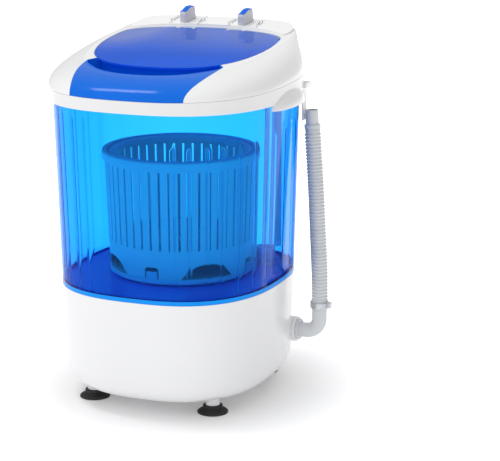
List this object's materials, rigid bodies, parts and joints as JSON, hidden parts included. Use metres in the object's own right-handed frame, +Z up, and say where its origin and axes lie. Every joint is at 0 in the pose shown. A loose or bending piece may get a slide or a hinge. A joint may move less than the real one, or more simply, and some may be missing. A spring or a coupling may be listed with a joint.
{
  "type": "portable washer spinner",
  "caption": "Compact washer spinner with a tinted clear tub on a white base, lift-out slotted spin basket, hinged lid, two timer knobs and a side drain hose.",
  "frame": {"origin": "on the floor under the middle of the body's bounding box, hose left out", "axes": "+Z up, -Y to the front of the machine, +X to the side with the hose"},
  "size_m": [0.3998, 0.3754, 0.5596],
  "materials": {
    "white_gloss": "gloss",
    "knob_white": "gloss",
    "tub_tint": "clear gloss",
    "lid_tint": "clear gloss",
    "visor_blue": "gloss",
    "basket_white": "satin",
    "pulsator_blue": "satin",
    "hose_grey": "satin",
    "rubber_black": "matte",
    "steel": "brushed",
    "motor_grey": "cast",
    "dark_plastic": "matte",
    "belt_rubber": "matte"
  },
  "bodies": {
    "cabinet": {"base_housing": "white_gloss", "bottom_plate": "white_gloss", "plate_screws": "steel", "foot_front_left": "rubber_black", "foot_front_right": "rubber_black", "foot_rear_left": "rubber_black", "foot_rear_right": "rubber_black", "wash_tub": "tub_tint", "tub_gasket": "rubber_black", "upper_ring": "white_gloss", "top_cover": "white_gloss", "front_visor": "visor_blue", "control_panel": "white_gloss", "wash_timer": "dark_plastic", "spin_timer": "dark_plastic", "bearing_housing": "dark_plastic", "upper_bearing": "steel", "lower_bearing": "steel", "shaft_seal": "rubber_black", "motor": "motor_grey", "motor_bracket": "steel", "motor_bushes": "rubber_black", "run_capacitor": "dark_plastic", "capacitor_clip": "steel", "drive_belt": "belt_rubber", "drain_grille": "pulsator_blue", "drain_sump": "dark_plastic", "drain_pipe": "dark_plastic", "outlet_socket": "white_gloss", "hose_hanger": "white_gloss", "wire_conduit": "white_gloss", "cord_gland": "dark_plastic"},
    "lid": {"lid": "lid_tint", "lid_hinge_pin_left": "steel", "lid_hinge_pin_right": "steel"},
    "wash_control": {"wash_knob": "knob_white", "wash_knob_inlay": "visor_blue", "wash_spindle": "dark_plastic"},
    "spin_control": {"spin_knob": "knob_white", "spin_knob_inlay": "visor_blue", "spin_spindle": "dark_plastic"},
    "spinner": {"pulsator": "pulsator_blue", "pulsator_screw": "steel", "main_shaft": "steel", "driven_pulley": "motor_grey"},
    "basket": {"spin_basket": "basket_white", "balance_ring": "basket_white"},
    "motor_rotor": {"motor_shaft": "steel", "motor_pulley": "motor_grey"},
    "hose": {"outlet_elbow": "hose_grey", "hose_clamp": "steel", "drain_hose": "hose_grey", "hose_end_cuff": "hose_grey"}
  },
  "joints": [
    {"name": "lid_hinge", "type": "hinge", "parent": "cabinet", "child": "lid", "pos_m": [0, 0.1276, 0.52603], "axis": [-1, 0, 0], "range_deg": [0, 75]},
    {"name": "wash_knob_turn", "type": "hinge", "parent": "cabinet", "child": "wash_control", "pos_m": [-0.048, 0.1537, 0.53689], "axis": [0, 0.208, -0.9781], "range_deg": [0, 300]},
    {"name": "spin_knob_turn", "type": "hinge", "parent": "cabinet", "child": "spin_control", "pos_m": [0.048, 0.1537, 0.53689], "axis": [0, 0.208, -0.9781], "range_deg": [0, 270]},
    {"name": "pulsator_spin", "type": "hinge", "parent": "cabinet", "child": "spinner", "pos_m": [0, 0.0127, 0.19], "axis": [0, 0, 1], "continuous": true},
    {"name": "basket_lift", "type": "slide", "parent": "spinner", "child": "basket", "axis": [0, 0, 1], "range_m": [0, 0.11]},
    {"name": "motor_spin", "type": "hinge", "parent": "cabinet", "child": "motor_rotor", "pos_m": [0, -0.09, 0.06], "axis": [0, 0, 1], "continuous": true},
    {"name": "hose_swivel", "type": "hinge", "parent": "cabinet", "child": "hose", "pos_m": [0.1455, 0.0877, 0.08], "axis": [1, 0, 0], "range_deg": [0, 95]}
  ],
  "couplings": [
    {"joint": "motor_spin", "follows": "pulsator_spin", "ratio": 2.8537}
  ]
}
